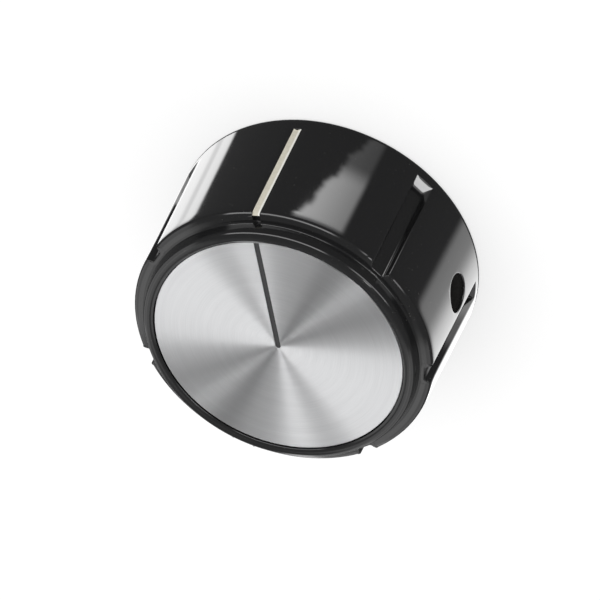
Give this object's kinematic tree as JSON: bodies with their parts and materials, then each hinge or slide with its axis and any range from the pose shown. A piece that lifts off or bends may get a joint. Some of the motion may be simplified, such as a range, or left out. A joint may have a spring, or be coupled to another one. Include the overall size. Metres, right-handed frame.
{
  "type": "dial knob",
  "caption": "Round fluted control knob with a metal face disc, index lines, a blind shaft bore and a set screw.",
  "frame": {"origin": "centre of the back rim, on the plane that the knob stands on", "axes": "+Z along the shaft axis towards the face, +Y towards the index line, +X towards the set screw"},
  "size_m": [0.0318, 0.0318, 0.0167],
  "materials": {
    "black_phenolic": "moulded gloss",
    "spun_aluminium": "circular brushed, clear lacquer",
    "black_line_paint": "satin paint",
    "cream_line_paint": "satin paint",
    "turned_brass": "turned",
    "black_oxide_steel": "black oxide"
  },
  "bodies": {
    "root": {"knob_body": "black_phenolic", "face_disc": "spun_aluminium", "face_disc_line": "black_line_paint", "side_index_line": "cream_line_paint", "shaft_bushing": "turned_brass", "set_screw": "black_oxide_steel"}
  },
  "joints": []
}
